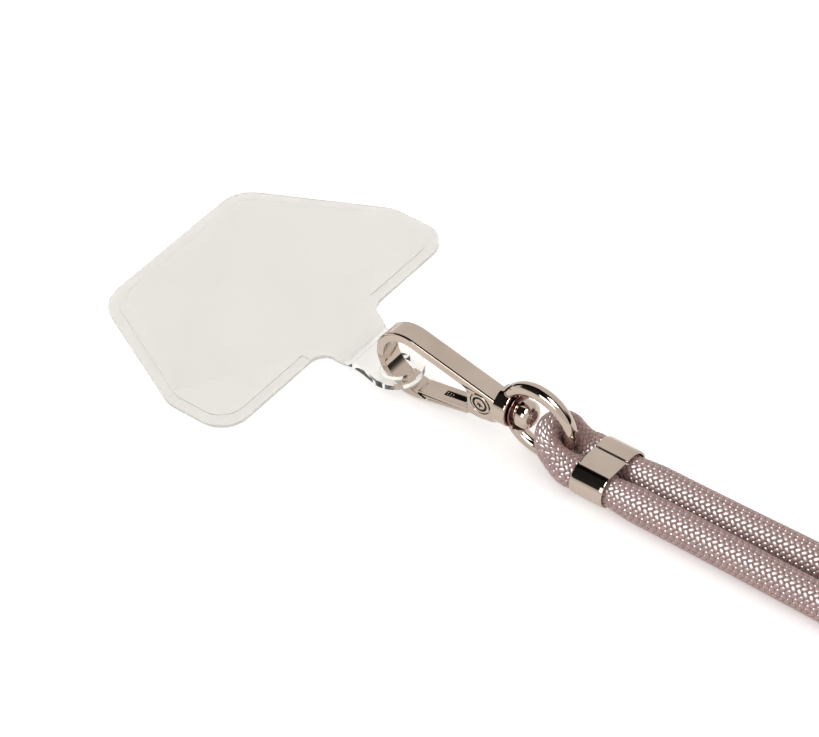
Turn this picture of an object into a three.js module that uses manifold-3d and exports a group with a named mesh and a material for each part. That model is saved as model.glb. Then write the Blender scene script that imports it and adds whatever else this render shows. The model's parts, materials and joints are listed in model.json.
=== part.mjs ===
// A crossbody strap for a phone: a clear tether pad that lies in the phone's case, a swivel snap hook
// that holds the pad's eyelet, and a braided rope that loops through the hook's ring and a metal ferrule.
// Millimetres, +Z up. The origin is the middle of the pad's underside, and +X runs along the strap.
import * as THREE from "three";
import { mergeVertices } from "three/addons/utils/BufferGeometryUtils.js";
import Module from "manifold-3d";

const wasm = await Module();
wasm.setup();

// General clearances
const GAP = 0.3;
const SEAT_LIFT = 0.05;

// Tether pad: a six-sided sheet with a tab that ends in a thick eyelet
const PAD_LENGTH = 46;
const PAD_WIDTH = 70.8;
const PAD_FAR_WIDTH = 42;
const PAD_SHOULDER = 15.4;
const PAD_CORNER = 7.5;
const PAD_THICKNESS = 0.8;
const PAD_BORDER = 2.3;
const PAD_BORDER_STEP = 0.15;
const TAB_BASE_WIDTH = 15.4;
const TAB_BASE_SIDE = 1.2;
const TAB_FLARE = 3.2;
const TAB_CREASE_RUN = 7.9;
const TAB_CREASE_WIDTH = 12.6;
const EYELET_RADIUS = 5.8;
const EYELET_THICKNESS = 1.6;
const EYELET_OVER_JAW = 0.465;
const EYELET_HOLE_SHIFT = 0.45;
// Shares of the border's inset by which the far side and the corners draw in, and of the near corners' radius
const FAR_SIDE_INSET = 0.6;
const CORNER_INSET = 0.5;
const NEAR_CORNER = 0.85;
// The tab's sides: how far its flare is drawn in, and how much each side leans to the eyelet
const FLARE_PULL = 0.64;
const NEAR_SIDE_LEAN = 0.1;
const FAR_SIDE_LEAN = 0.6;
// The tab's bend in the side view: the flat run before it, the pulls of its curves and their heights
const BEND_START = 2;
const UNDER_PULL = 1.5;
const OVER_PULL = 2.4;
const CREASE_PULL = 0.8;
const CREASE_REACH = 1.6;
const CREASE_SHARE = 0.45;
const CREASE_TOP_SHARE = 0.62;
const LEVEL_LEAD = 0.6;
// How far cutting shapes reach past what they cut
const OVERCUT = 1;

// Swivel: ring, boss, post and head, all about one axis along X
const RING_TO_PAD = 75.9;
const HOOK_SIDE = -3.5;
const RING_RADIUS = 7.45;
const RING_WIRE = 1.5;
const BOSS_RADIUS = 4;
const BOSS_FRONT = 1.15;
const BOSS_SEAT = 1.85;
const POST_RADIUS = 1.5;
const RECESS_RADIUS = 4.5;
const COLLAR_RADIUS = 3.3;
const COLLAR_THICKNESS = 0.7;
const NECK_RADIUS = 2;
const NECK_LENGTH = 2.3;
const HEAD_RADIUS = 2.75;
const HEAD_RIM = 0.8;
const HEAD_CROWN = 0.9;
const CROWN_STEPS = 6;

// Hook: a flat band bent to a teardrop, measured from the ring's centre
const NOSE_TO_RING = 31;
const NOSE_DROP = 1;
const NOSE_RADIUS = 7.77;
const BAND_THICKNESS = 1.9;
const BAND_WIDTH = 4.6;
const SPINE_ANGLE = THREE.MathUtils.degToRad(13.82);
const JAW_ARC_END = THREE.MathUtils.degToRad(285);
const JAW_LAP_START = THREE.MathUtils.degToRad(276.8);
const JAW_TIP_RUN = 2;
const JAW_TIP_SLOPE = 0.22;
const JAW_TIP_THICKNESS = 0.35;
const BLOCK_LENGTH = 7.1;
const BLOCK_DEPTH = 5.2;
const BLOCK_HEEL_RISE = 1.2;
const BLOCK_CORNER = 1.2;
const BLOCK_HEEL_RUN = 0.9;
const CHEEK = 0.9;
// Where the tongue's slot leaves the block's floor and its rear wall, in shares of the slot's reach
const SLOT_FLOOR_SHARE = 0.2;
const SLOT_WALL_SHARE = 0.6;

// Gate: a lever on a cross rivet, which swings into the hook
const PIVOT_TO_BLOCK_REAR = 3.9;
const PIVOT_DROP = 1;
const GATE_WIDTH = 4.1;
const GATE_THICKNESS = 1.85;
const GATE_LAP = 1.9;
const GATE_TIP_THICKNESS = 0.28;
const GATE_EYE_RADIUS = 1.9;
const GATE_TAPER = 0.4;
const GATE_STEP_PLAY = 0.39;
const GATE_LAP_PLAY = 0.315;
const GATE_REAR_PLAY = 0.4;
const GATE_REAR_DROP = 0.55;
const GATE_STEP_LIFT = 0.06;
const GATE_STEP_RUN = 0.6;
// The tongue: its run into the bar and out of it, its rise, and the turns where its round eye begins and ends
const TONGUE_ROOT = 1;
const TONGUE_HEEL = 1.2;
const TONGUE_RISE = 0.5;
const TONGUE_SINK = 0.1;
const EYE_START = -0.45;
const EYE_END = Math.PI * 0.93;
const RIVET_RADIUS = 1.1;
const RIVET_HEAD_RADIUS = 2.2;
const RIVET_HEAD_THICKNESS = 0.4;
const RIVET_SINK = 0.1;
const SPRING_SLOT_LENGTH = 5.4;
const SPRING_SLOT_WIDTH = 1.3;
const SPRING_SLOT_DEPTH = 1.1;
const SPRING_SLOT_TO_REAR = 1.4;

// Rope and the pieces on it
const ROPE_RADIUS = 3.5;
const ROPE_PRESSED_RADIUS = 3;
const ROPE_SIDES = 10;
const FERRULE_TO_RING = 11.8;
const FERRULE_LENGTH = 7.8;
const FERRULE_WALL = 0.5;
const FERRULE_SEAM_SIDE = 1.35;
const STRAND_PITCH = 7;
const STRAND_SIDE = -3.05;
const SLEEVE_LENGTH = 10;
const SLEEVE_WALL = 0.8;

// Places worked out from the sizes above
const SWIVEL_HEIGHT = RING_RADIUS + RING_WIRE + SEAT_LIFT;
const BOSS_FRONT_X = -RING_RADIUS - BOSS_FRONT;
const BLOCK_REAR_X = BOSS_FRONT_X - GAP;
const BLOCK_FRONT_X = BLOCK_REAR_X - BLOCK_LENGTH;
const NOSE = new THREE.Vector2(-NOSE_TO_RING, -NOSE_DROP);
const PIVOT = new THREE.Vector2(BLOCK_REAR_X - PIVOT_TO_BLOCK_REAR, -PIVOT_DROP);
const INNER_RADIUS = NOSE_RADIUS - BAND_THICKNESS;

// The rope's route, chosen by hand along the photographed bight and strands and the plain way round
const BIGHT_ROUTE = [
  [95.5, -6.55, 3.8],
  [88.5, -6.55, 3.8],
  [84.4, -7.25, 5.0],
  [80.1, -6.4, 7.0],
  [78.6, -3.3, 8.2],
  [80.1, 0, 7.0],
  [84.4, 0.55, 5.0],
  [88.5, 0.45, 3.8],
  [95.5, 0.45, 3.8],
];
const LEFT_ROUTE = [
  [95.8, 0.45, 3.5],
  [130, 0.8, 3.5],
  [165, 1.9, 3.5],
  [240, 10, 3.5],
  [340, 29, 3.5],
  [450, 46, 3.5],
  [540, 51, 3.55],
  [600, 45.5, 3.6],
  [635, 34, 3.9],
  [654, 23, 4.4],
  [660, 15, 4.6],
  [660, 6, 4.6],
  [660, -2.9, 4.6],
];
const RIGHT_ROUTE = [
  [95.8, -6.55, 3.5],
  [130, -6.9, 3.5],
  [165, -8.0, 3.5],
  [240, -16.1, 3.5],
  [340, -35.1, 3.5],
  [450, -52.1, 3.5],
  [540, -57.1, 3.55],
  [600, -51.6, 3.6],
  [635, -40.1, 3.9],
  [654, -29.1, 4.4],
  [660, -21.1, 4.6],
  [660, -12.1, 4.6],
  [660, -3.2, 4.6],
];
const BIGHT_STEPS = 26;
const STRAND_STEPS = 36;
// Where the rope is pulled tight round the ring it is narrower: share of its way, then share of its width
const BIGHT_WIDTHS = [
  { along: 0, width: 1 },
  { along: 0.18, width: 0.95 },
  { along: 0.29, width: 0.66 },
  { along: 0.41, width: 0.74 },
  { along: 0.5, width: 0.8 },
];

// Closed geometry to a solid for joining and cutting, and back
function toSolid(geometry) {
  const plain = geometry.clone();
  plain.deleteAttribute("normal");
  plain.deleteAttribute("uv");
  const merged = mergeVertices(plain, 1e-4);
  const triangles = [];
  for (let i = 0; i < merged.index.count; i += 3) {
    const [a, b, c] = merged.index.array.slice(i, i + 3);
    if (a !== b && b !== c && c !== a) triangles.push(a, b, c);
  }
  return new wasm.Manifold(
    new wasm.Mesh({
      numProp: 3,
      vertProperties: new Float32Array(merged.attributes.position.array),
      triVerts: new Uint32Array(triangles),
    }),
  );
}

function toGeometry(solid) {
  const result = solid.getMesh();
  const geometry = new THREE.BufferGeometry();
  geometry.setAttribute("position", new THREE.BufferAttribute(result.vertProperties, 3));
  geometry.setIndex(new THREE.BufferAttribute(result.triVerts, 1));
  geometry.computeVertexNormals();
  return geometry;
}

function piece(name, geometry, color, roughness, metalness) {
  const material = new THREE.MeshStandardMaterial({ color, roughness, metalness });
  const mesh = new THREE.Mesh(geometry, material);
  mesh.name = name;
  return mesh;
}

const metalPiece = (name, geometry) => piece(name, geometry, 0xb2a396, 0.25, 1);
const ropePiece = (name, geometry) => piece(name, geometry, 0x9e8080, 0.8, 0);

// A closed outline whose corners are rounded by arcs, each as wide as its corner lets it be
function roundedOutline(corners) {
  const shape = new THREE.Shape();
  corners.forEach(({ x, y, radius }, i) => {
    const corner = new THREE.Vector2(x, y);
    const before = corners[(i + corners.length - 1) % corners.length];
    const after = corners[(i + 1) % corners.length];
    const back = new THREE.Vector2(before.x - x, before.y - y).normalize();
    const ahead = new THREE.Vector2(after.x - x, after.y - y).normalize();
    const half = Math.acos(THREE.MathUtils.clamp(back.dot(ahead), -1, 1)) / 2;
    const reach = radius / Math.tan(half);
    const centre = back.clone().add(ahead).normalize().multiplyScalar(radius / Math.sin(half)).add(corner);
    const start = back.clone().multiplyScalar(reach).add(corner).sub(centre);
    const end = ahead.clone().multiplyScalar(reach).add(corner).sub(centre);
    shape.absarc(centre.x, centre.y, radius, start.angle(), end.angle(), start.cross(end) < 0);
  });
  return shape;
}

function polygon(points) {
  return new THREE.Shape(points.map(([x, y]) => new THREE.Vector2(x, y)));
}

// An outline drawn in X and Y that rises from one height to another
function slab(shape, low, high, curveSegments = 8) {
  const geometry = new THREE.ExtrudeGeometry(shape, { depth: high - low, bevelEnabled: false, curveSegments });
  return geometry.translate(0, 0, low);
}

// An outline drawn in X and Z that is as wide as asked in Y, about the middle plane
function sidePlate(shape, width, curveSegments = 8) {
  const geometry = new THREE.ExtrudeGeometry(shape, { depth: width, bevelEnabled: false, curveSegments });
  return geometry.rotateX(Math.PI / 2).translate(0, width / 2, 0);
}

// A round pin across the hook, and a turned piece about the swivel's axis from [radius, x] pairs
function crossPin(radius, width, place, segments = 20) {
  return new THREE.CylinderGeometry(radius, radius, width, segments).translate(place.x, 0, place.y);
}

function turned(profile, segments = 28) {
  const points = profile.map(([radius, x]) => new THREE.Vector2(radius, x));
  return new THREE.LatheGeometry(points, segments).rotateZ(-Math.PI / 2);
}

function axialPin(radius, from, to, segments = 28) {
  return turned([[0, from], [radius, from], [radius, to], [0, to]], segments);
}

// The pad's outline, drawn in by an inset, with the tab's edge at +X
function padOutline(inset) {
  const tabEdge = PAD_LENGTH / 2 - inset;
  const farEdge = -PAD_LENGTH / 2 + inset;
  const shoulder = PAD_LENGTH / 2 - PAD_SHOULDER;
  const side = PAD_WIDTH / 2 - inset;
  const farSide = PAD_FAR_WIDTH / 2 - inset * FAR_SIDE_INSET;
  const radius = PAD_CORNER - inset * CORNER_INSET;
  return roundedOutline([
    { x: farEdge, y: -farSide, radius },
    { x: shoulder, y: -side, radius },
    { x: tabEdge, y: -side, radius: radius * NEAR_CORNER },
    { x: tabEdge, y: side, radius: radius * NEAR_CORNER },
    { x: shoulder, y: side, radius },
    { x: farEdge, y: farSide, radius },
  ]);
}

// The band's faces at a height above or below the swivel's axis, on the nose's left half
function noseFace(radius, height) {
  return NOSE.x - Math.sqrt(radius ** 2 - (height - NOSE.y) ** 2);
}

// The eyelet lies just above the jaw, and its hole is as wide as the slanting band needs there
const EYELET_LOW = SWIVEL_HEIGHT + NOSE.y - INNER_RADIUS + EYELET_OVER_JAW;
const EYELET_HIGH = EYELET_LOW + EYELET_THICKNESS;
const BAND_LEFT = noseFace(NOSE_RADIUS, EYELET_HIGH - SWIVEL_HEIGHT);
const BAND_RIGHT = noseFace(INNER_RADIUS, EYELET_LOW - SWIVEL_HEIGHT);
const EYELET_HOLE_X = RING_TO_PAD + (BAND_LEFT + BAND_RIGHT) / 2;
const EYELET_HOLE_RADIUS = Math.hypot((BAND_RIGHT - BAND_LEFT) / 2, BAND_WIDTH / 2) + GAP;
const EYELET_X = EYELET_HOLE_X - EYELET_HOLE_SHIFT;

function tabOutline() {
  const edge = PAD_LENGTH / 2;
  const crease = edge + TAB_CREASE_RUN;
  const creaseSide = (TAB_BASE_SIDE + HOOK_SIDE) / 2;
  const near = TAB_BASE_SIDE - TAB_BASE_WIDTH / 2;
  const far = TAB_BASE_SIDE + TAB_BASE_WIDTH / 2;
  const shape = new THREE.Shape();
  shape.moveTo(edge - TAB_FLARE, near - TAB_FLARE);
  shape.lineTo(edge, near - TAB_FLARE);
  shape.quadraticCurveTo(edge + FLARE_PULL, near, edge + TAB_FLARE, near - NEAR_SIDE_LEAN);
  shape.lineTo(crease, creaseSide - TAB_CREASE_WIDTH / 2);
  shape.lineTo(EYELET_X, HOOK_SIDE - EYELET_RADIUS);
  shape.absarc(EYELET_X, HOOK_SIDE, EYELET_RADIUS, -Math.PI / 2, Math.PI / 2, false);
  shape.lineTo(crease, creaseSide + TAB_CREASE_WIDTH / 2);
  shape.lineTo(edge + TAB_FLARE, far - FAR_SIDE_LEAN);
  shape.quadraticCurveTo(edge + FLARE_PULL, far, edge, far + TAB_FLARE);
  shape.lineTo(edge - TAB_FLARE, far + TAB_FLARE);
  return shape;
}

// The tab's side view: it bends up from the sheet and thickens at the crease
function tabSide() {
  const edge = PAD_LENGTH / 2;
  const crease = edge + TAB_CREASE_RUN;
  const level = crease + EYELET_HIGH;
  const end = EYELET_X + EYELET_RADIUS + OVERCUT;
  const shape = new THREE.Shape();
  const start = edge - TAB_FLARE - OVERCUT;
  const low = EYELET_HIGH * CREASE_SHARE;
  const high = EYELET_HIGH * CREASE_TOP_SHARE;
  shape.moveTo(start, 0);
  shape.lineTo(edge + BEND_START, 0);
  shape.bezierCurveTo(crease - UNDER_PULL, 0, crease, EYELET_LOW, level, EYELET_LOW);
  shape.lineTo(end, EYELET_LOW);
  shape.lineTo(end, EYELET_HIGH);
  shape.lineTo(level - LEVEL_LEAD, EYELET_HIGH);
  shape.bezierCurveTo(crease + CREASE_REACH, EYELET_HIGH, crease + CREASE_PULL, high, crease, low);
  shape.quadraticCurveTo(crease - OVER_PULL, PAD_THICKNESS, edge + BEND_START, PAD_THICKNESS);
  shape.lineTo(start, PAD_THICKNESS);
  return shape;
}

function phonePad() {
  const border = toSolid(slab(padOutline(0), 0, PAD_THICKNESS - PAD_BORDER_STEP));
  const field = toSolid(slab(padOutline(PAD_BORDER), 0, PAD_THICKNESS));
  const plan = toSolid(slab(tabOutline(), -OVERCUT, EYELET_HIGH + OVERCUT, 14));
  const side = sidePlate(tabSide(), PAD_WIDTH, 12);
  const tab = toSolid(side).intersect(plan);
  const holeDepth = EYELET_HIGH + 2 * OVERCUT;
  const hole = new THREE.CylinderGeometry(EYELET_HOLE_RADIUS, EYELET_HOLE_RADIUS, holeDepth, 36);
  hole.rotateX(Math.PI / 2).translate(EYELET_HOLE_X, HOOK_SIDE, holeDepth / 2 - OVERCUT);
  const solid = border.add(field).add(tab).subtract(toSolid(hole));
  return piece("phone_pad", toGeometry(solid), 0xebe8e4, 0.2, 0);
}

// Heights of the hook's straight back, outside and inside, measured from the swivel's axis
const SPINE_START = Math.PI / 2 - SPINE_ANGLE;
const spineHeight = (x, radius) =>
  NOSE.y + radius / Math.cos(SPINE_ANGLE) - Math.tan(SPINE_ANGLE) * (x - NOSE.x);

const JAW_END = {
  x: NOSE.x + NOSE_RADIUS * Math.cos(JAW_ARC_END) + JAW_TIP_RUN,
  z: NOSE.y + NOSE_RADIUS * Math.sin(JAW_ARC_END) + JAW_TIP_RUN * JAW_TIP_SLOPE,
};
const LAP_START = {
  x: NOSE.x + INNER_RADIUS * Math.cos(JAW_LAP_START),
  z: NOSE.y + INNER_RADIUS * Math.sin(JAW_LAP_START),
};
const LAP_SLOPE = (JAW_END.z + JAW_TIP_THICKNESS - LAP_START.z) / (JAW_END.x - LAP_START.x);

function hookOutline() {
  const floor = -BLOCK_DEPTH;
  const shape = new THREE.Shape();
  shape.moveTo(BLOCK_REAR_X, floor + BLOCK_HEEL_RISE);
  shape.lineTo(BLOCK_REAR_X, spineHeight(BLOCK_REAR_X, NOSE_RADIUS));
  shape.absarc(NOSE.x, NOSE.y, NOSE_RADIUS, SPINE_START, JAW_ARC_END, false);
  shape.lineTo(JAW_END.x, JAW_END.z);
  shape.lineTo(JAW_END.x, JAW_END.z + JAW_TIP_THICKNESS);
  shape.absarc(NOSE.x, NOSE.y, INNER_RADIUS, JAW_LAP_START, SPINE_START, true);
  const corner = spineHeight(BLOCK_FRONT_X, INNER_RADIUS);
  shape.lineTo(BLOCK_FRONT_X - BLOCK_CORNER, spineHeight(BLOCK_FRONT_X - BLOCK_CORNER, INNER_RADIUS));
  shape.quadraticCurveTo(BLOCK_FRONT_X, corner, BLOCK_FRONT_X, corner - BLOCK_CORNER);
  shape.lineTo(BLOCK_FRONT_X, floor);
  shape.lineTo(PIVOT.x, floor);
  shape.lineTo(BLOCK_REAR_X - BLOCK_HEEL_RUN, floor + BLOCK_HEEL_RISE / 2);
  return shape;
}

const SLOT_WIDTH = BAND_WIDTH - 2 * CHEEK;
const SOCKET_X = PIVOT.x + RIVET_HEAD_RADIUS + 2 * GAP;

// The slot that takes the gate's tongue: open in front and below, round behind the rivet
function tongueSlot() {
  const reach = GATE_EYE_RADIUS + GAP;
  const front = BLOCK_FRONT_X - OVERCUT;
  const shape = new THREE.Shape();
  shape.moveTo(front, -BLOCK_DEPTH - OVERCUT);
  shape.lineTo(PIVOT.x + reach * SLOT_FLOOR_SHARE, -BLOCK_DEPTH - OVERCUT);
  shape.lineTo(PIVOT.x + reach, PIVOT.y - reach * SLOT_WALL_SHARE);
  shape.absarc(PIVOT.x, PIVOT.y, reach, 0, Math.PI / 2, false);
  shape.lineTo(front, PIVOT.y + reach);
  return sidePlate(shape, SLOT_WIDTH);
}

function hookBody() {
  const counterbore = RIVET_HEAD_THICKNESS + RIVET_SINK;
  let solid = toSolid(sidePlate(hookOutline(), BAND_WIDTH, 26));
  solid = solid.subtract(toSolid(tongueSlot()));
  solid = solid.subtract(toSolid(crossPin(RIVET_RADIUS + GAP, BAND_WIDTH + 2 * OVERCUT, PIVOT)));
  for (const side of [-1, 1]) {
    const pocket = crossPin(RIVET_HEAD_RADIUS + GAP, 2 * counterbore, PIVOT, 28);
    solid = solid.subtract(toSolid(pocket.translate(0, side * (BAND_WIDTH / 2), 0)));
  }
  solid = solid.subtract(toSolid(axialPin(POST_RADIUS + GAP, SOCKET_X, BLOCK_REAR_X + OVERCUT)));
  return metalPiece("hook_body", toGeometry(solid));
}

// The gate's bar closes on the jaw with a slanting lap, and its tongue rises to the rivet
function gateLever() {
  const lapHeight = (x) => LAP_START.z + LAP_SLOPE * (x - LAP_START.x) + GATE_LAP_PLAY;
  const step = JAW_END.x + GATE_STEP_PLAY;
  const tip = JAW_END.x - GATE_LAP;
  const rear = BLOCK_FRONT_X - GATE_REAR_PLAY;
  const rearLow = -BLOCK_DEPTH - GATE_REAR_DROP;
  const stepLow = JAW_END.z + GATE_STEP_LIFT;
  const topAt = (x) => {
    const share = (x - step) / (rear - step);
    return THREE.MathUtils.lerp(stepLow, rearLow, share) + GATE_THICKNESS - GATE_TAPER * share;
  };
  const bar = polygon([
    [tip, lapHeight(tip)],
    [step, lapHeight(step)],
    [step, stepLow],
    [rear, rearLow],
    [rear, topAt(rear)],
    [step + GATE_STEP_RUN, topAt(step + GATE_STEP_RUN)],
    [tip, lapHeight(tip) + GATE_TIP_THICKNESS],
  ]);
  const tongue = new THREE.Shape();
  tongue.moveTo(rear - TONGUE_ROOT, rearLow);
  tongue.lineTo(rear + TONGUE_HEEL, rearLow + TONGUE_RISE);
  tongue.absarc(PIVOT.x, PIVOT.y, GATE_EYE_RADIUS, EYE_START, EYE_END, false);
  tongue.lineTo(rear - TONGUE_ROOT, topAt(rear - TONGUE_ROOT) - TONGUE_SINK);
  const slotEnd = rear - SPRING_SLOT_TO_REAR;
  const slotTop = topAt(slotEnd - SPRING_SLOT_LENGTH / 2);
  const slot = new THREE.BoxGeometry(SPRING_SLOT_LENGTH, SPRING_SLOT_WIDTH, 2 * SPRING_SLOT_DEPTH);
  slot.translate(slotEnd - SPRING_SLOT_LENGTH / 2, 0, slotTop);
  let solid = toSolid(sidePlate(bar, GATE_WIDTH)).add(toSolid(sidePlate(tongue, SLOT_WIDTH - 2 * GAP, 12)));
  solid = solid.subtract(toSolid(slot));
  solid = solid.subtract(toSolid(crossPin(RIVET_RADIUS + GAP, GATE_WIDTH + 2 * OVERCUT, PIVOT)));
  return metalPiece("gate_lever", toGeometry(solid));
}

function gateRivet() {
  let solid = toSolid(crossPin(RIVET_RADIUS, BAND_WIDTH - 2 * RIVET_SINK, PIVOT));
  for (const side of [-1, 1]) {
    const head = crossPin(RIVET_HEAD_RADIUS, RIVET_HEAD_THICKNESS, PIVOT, 28);
    const middle = (BAND_WIDTH - RIVET_HEAD_THICKNESS) / 2 + RIVET_SINK;
    solid = solid.add(toSolid(head.translate(0, side * middle, 0)));
  }
  return metalPiece("gate_rivet", toGeometry(solid));
}

// The post runs from the hook's block through the ring's boss, and its collar keeps it there. A narrower
// neck and a button with a rounded crown stand free inside the ring.
const SEAT_X = BOSS_FRONT_X + BOSS_FRONT + BOSS_SEAT;

function swivelPost() {
  const start = SOCKET_X + GAP;
  const collar = SEAT_X + GAP;
  const neck = collar + COLLAR_THICKNESS;
  const head = neck + NECK_LENGTH;
  const profile = [[0, start], [POST_RADIUS, start], [POST_RADIUS, collar], [COLLAR_RADIUS, collar]];
  profile.push([COLLAR_RADIUS, neck], [NECK_RADIUS, neck], [NECK_RADIUS, head], [HEAD_RADIUS, head]);
  for (let i = 0; i < CROWN_STEPS; i += 1) {
    const turn = (i / CROWN_STEPS) * (Math.PI / 2);
    profile.push([HEAD_RADIUS * Math.cos(turn), head + HEAD_RIM + HEAD_CROWN * Math.sin(turn)]);
  }
  profile.push([0, head + HEAD_RIM + HEAD_CROWN]);
  return metalPiece("swivel_post", turned(profile));
}

function swivelRing() {
  const wire = new THREE.TorusGeometry(RING_RADIUS, RING_WIRE, 10, 40).rotateX(Math.PI / 2);
  const boss = axialPin(BOSS_RADIUS, BOSS_FRONT_X, SEAT_X);
  const recess = axialPin(RECESS_RADIUS, SEAT_X, 0, 32);
  const bore = axialPin(POST_RADIUS + GAP, BOSS_FRONT_X - OVERCUT, SEAT_X + OVERCUT);
  const front = axialPin(2 * BOSS_RADIUS, BOSS_FRONT_X - RING_WIRE, BOSS_FRONT_X);
  let solid = toSolid(wire).add(toSolid(boss));
  for (const cut of [front, recess, bore]) solid = solid.subtract(toSolid(cut));
  return metalPiece("swivel_ring", toGeometry(solid));
}

function stadium(halfHeight, middle) {
  const reach = STRAND_PITCH / 2;
  const shape = new THREE.Shape();
  shape.absarc(reach, middle, halfHeight, -Math.PI / 2, Math.PI / 2, false);
  shape.absarc(-reach, middle, halfHeight, Math.PI / 2, (Math.PI * 3) / 2, false);
  return shape;
}

// The ferrule: an oblong tube pressed round both strands, its seam slit along the top
const FERRULE_HALF_HEIGHT = ROPE_PRESSED_RADIUS + GAP + FERRULE_WALL;

function ferrule() {
  const outer = stadium(FERRULE_HALF_HEIGHT, FERRULE_HALF_HEIGHT);
  outer.holes.push(stadium(FERRULE_HALF_HEIGHT - FERRULE_WALL, FERRULE_HALF_HEIGHT));
  const tube = new THREE.ExtrudeGeometry(outer, { depth: FERRULE_LENGTH, bevelEnabled: false, curveSegments: 10 });
  tube.rotateX(Math.PI / 2).rotateZ(Math.PI / 2);
  const front = RING_TO_PAD + FERRULE_TO_RING;
  tube.translate(front, STRAND_SIDE, 0);
  const seam = new THREE.BoxGeometry(FERRULE_LENGTH + 2, GAP, 2 * FERRULE_WALL + 1);
  seam.translate(front + FERRULE_LENGTH / 2, STRAND_SIDE + FERRULE_SEAM_SIDE, 2 * FERRULE_HALF_HEIGHT);
  return metalPiece("ferrule", toGeometry(toSolid(tube).subtract(toSolid(seam))));
}

function ropeTube(route, radius, steps) {
  const path = new THREE.CatmullRomCurve3(route.map(([x, y, z]) => new THREE.Vector3(x, y, z)));
  const section = new THREE.Shape();
  section.absarc(0, 0, radius, 0, Math.PI * 2, false);
  const options = { steps, extrudePath: path, curveSegments: ROPE_SIDES, bevelEnabled: false };
  return { path, tube: new THREE.ExtrudeGeometry(section, options) };
}

function widthShare(along) {
  const share = Math.min(along, 1 - along);
  const next = BIGHT_WIDTHS.findIndex((entry) => entry.along >= share);
  const high = BIGHT_WIDTHS[Math.max(next, 1)];
  const low = BIGHT_WIDTHS[Math.max(next, 1) - 1];
  return THREE.MathUtils.mapLinear(share, low.along, high.along, low.width, high.width);
}

// The bight is one piece of rope, narrower from side to side where it is pulled round the ring
function ropeBight() {
  const { path, tube } = ropeTube(BIGHT_ROUTE, ROPE_PRESSED_RADIUS, BIGHT_STEPS);
  const centres = path.getSpacedPoints(BIGHT_STEPS);
  const tangents = centres.map((_, i) => path.getTangentAt(i / BIGHT_STEPS));
  const position = tube.attributes.position;
  const vertex = new THREE.Vector3();
  for (let i = 0; i < position.count; i += 1) {
    vertex.fromBufferAttribute(position, i);
    let best = 0;
    let least = Infinity;
    centres.forEach((centre, k) => {
      const away = vertex.clone().sub(centre);
      const measure = Math.abs(away.dot(tangents[k])) + 0.01 * away.length();
      if (away.length() < ROPE_PRESSED_RADIUS * 1.1 && measure < least) {
        least = measure;
        best = k;
      }
    });
    const width = widthShare(best / BIGHT_STEPS);
    const centre = centres[best];
    const x = centre.x + (vertex.x - centre.x) * width;
    const y = centre.y + (vertex.y - centre.y) * width;
    position.setXYZ(i, x, y, vertex.z);
  }
  return ropePiece("rope_bight", tube);
}

function strand(name, route) {
  return ropePiece(name, ropeTube(route, ROPE_RADIUS, STRAND_STEPS).tube);
}

// A plain sleeve where the rope's two ends meet, at the far end of the loop
function joiningSleeve() {
  const inner = ROPE_RADIUS + GAP;
  const outer = inner + SLEEVE_WALL;
  const half = SLEEVE_LENGTH / 2;
  const profile = [[inner, -half], [outer, -half], [outer, half], [inner, half], [inner, -half]];
  const points = profile.map(([radius, y]) => new THREE.Vector2(radius, y));
  const sleeve = new THREE.LatheGeometry(points, 28);
  const end = LEFT_ROUTE[LEFT_ROUTE.length - 1];
  sleeve.translate(end[0], STRAND_SIDE, outer);
  return metalPiece("joining_sleeve", sleeve);
}

const hook = new THREE.Group();
hook.position.set(RING_TO_PAD, HOOK_SIDE, SWIVEL_HEIGHT);
hook.add(hookBody(), gateLever(), gateRivet(), swivelPost(), swivelRing());

const strap = new THREE.Group();
strap.add(phonePad(), hook, ferrule(), ropeBight());
strap.add(strand("rope_left", LEFT_ROUTE), strand("rope_right", RIGHT_ROUTE), joiningSleeve());
strap.updateMatrixWorld(true);

export default strap;
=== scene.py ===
# %% [markdown]
# A crossbody strap for a phone lies on a pale studio floor: a clear tether pad, a polished swivel snap
# hook that holds the pad's eyelet, and a braided rope that loops through the hook's ring and a ferrule.
# The imported model is loaded first as a fixed frame, so that each piece made here lands where the solid
# that it dresses is.

# %% Load the imported model
import json
from math import cos, pi, radians, sin

import bmesh
import bpy
import numpy as np
from mathutils import Matrix, Vector


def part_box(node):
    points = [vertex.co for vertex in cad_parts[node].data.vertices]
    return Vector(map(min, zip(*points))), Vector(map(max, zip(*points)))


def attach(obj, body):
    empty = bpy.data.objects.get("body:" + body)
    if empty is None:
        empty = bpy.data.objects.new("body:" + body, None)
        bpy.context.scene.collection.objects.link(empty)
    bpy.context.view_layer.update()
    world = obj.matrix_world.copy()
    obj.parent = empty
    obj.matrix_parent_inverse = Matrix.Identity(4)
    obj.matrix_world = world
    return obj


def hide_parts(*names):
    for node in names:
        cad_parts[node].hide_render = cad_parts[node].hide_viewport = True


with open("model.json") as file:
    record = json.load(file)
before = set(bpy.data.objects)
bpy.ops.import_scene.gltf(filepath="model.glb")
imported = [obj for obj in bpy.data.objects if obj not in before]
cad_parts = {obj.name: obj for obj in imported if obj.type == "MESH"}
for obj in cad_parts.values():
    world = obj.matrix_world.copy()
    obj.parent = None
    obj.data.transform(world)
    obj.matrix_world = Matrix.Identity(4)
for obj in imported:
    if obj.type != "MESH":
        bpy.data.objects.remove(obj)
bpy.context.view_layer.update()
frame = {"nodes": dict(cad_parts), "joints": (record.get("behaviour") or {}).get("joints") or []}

MM = 0.001
joints = {joint["name"]: joint for joint in frame["joints"]}
SWIVEL = Vector(joints["swivel"]["pos_m"])
PIVOT = Vector(joints["gate_hinge"]["pos_m"])

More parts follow.
